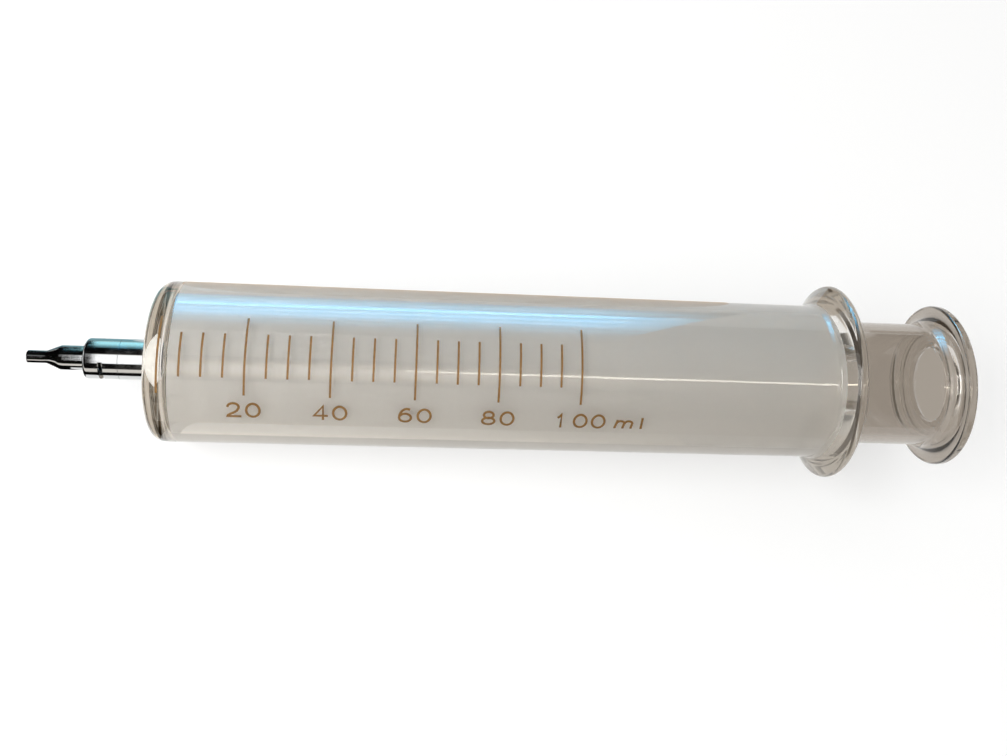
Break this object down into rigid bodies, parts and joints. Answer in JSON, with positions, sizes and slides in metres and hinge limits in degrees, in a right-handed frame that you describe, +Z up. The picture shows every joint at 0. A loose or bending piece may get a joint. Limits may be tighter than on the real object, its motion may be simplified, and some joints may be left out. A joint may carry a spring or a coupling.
{
  "type": "glass syringe",
  "caption": "Large all-glass syringe with a ground hollow plunger, a rolled finger flange, an enamel volume scale and a plated metal tip.",
  "frame": {"origin": "centre of the open end of the metal nozzle", "axes": "+X along the syringe from the nozzle to the thumb flange, +Z up as it lies on its side, with the middle of the scale facing -Y and turned 70 degrees up"},
  "size_m": [0.2358, 0.0512, 0.0512],
  "materials": {
    "barrel": "clear outside, ground in the bore",
    "plunger": "ground where it runs in the bore, clear and polished on the stem and the thumb flange",
    "nozzle": "polished plating",
    "tip_collar": "polished plating",
    "ferrule": "polished plating",
    "neck_cement": "matt grey cement",
    "scale": "fired brown enamel"
  },
  "bodies": {
    "barrel_body": {"barrel": "barrel", "nozzle": "nozzle", "tip_collar": "tip_collar", "ferrule": "ferrule", "neck_cement": "neck_cement", "long_lines": "scale", "short_lines": "scale"},
    "plunger_body": {"plunger": "plunger"}
  },
  "joints": [
    {"name": "plunger_slide", "type": "slide", "parent": "barrel_body", "child": "plunger_body", "axis": [1, 0, 0], "range_m": [0, 0.1]}
  ]
}
